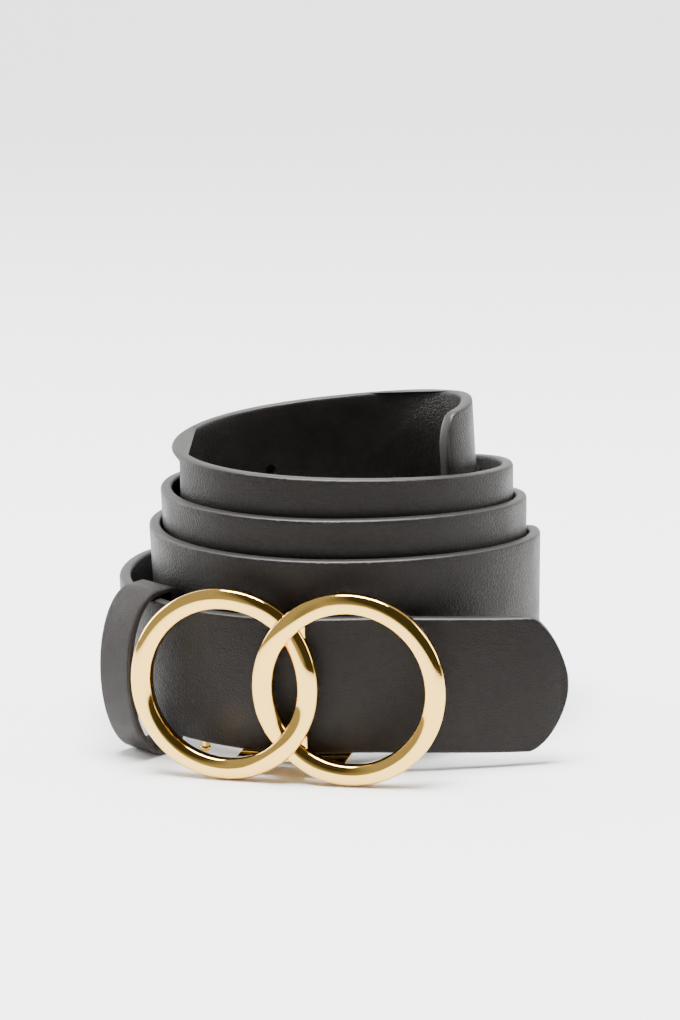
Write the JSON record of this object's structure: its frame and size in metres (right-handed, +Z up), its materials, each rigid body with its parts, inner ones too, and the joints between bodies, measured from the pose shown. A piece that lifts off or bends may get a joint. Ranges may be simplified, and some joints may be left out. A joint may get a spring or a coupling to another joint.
{
  "type": "rolled leather belt",
  "caption": "Black leather belt rolled up on its edge, with a gold buckle of interlocked rings, a loose keeper loop and a D-shaped end.",
  "frame": {"origin": "middle of the belt's bounding box, on the surface it stands on", "axes": "+Z up, -Y towards the viewer and the rings, +X towards the D-shaped end of the strap"},
  "size_m": [0.1172, 0.1064, 0.0845],
  "materials": {
    "strap_leather": "satin",
    "keeper_leather": "satin",
    "gold_metal": "polished"
  },
  "bodies": {
    "root": {"strap": "strap_leather", "keeper_loop": "keeper_leather", "double_ring": "gold_metal"}
  },
  "joints": []
}
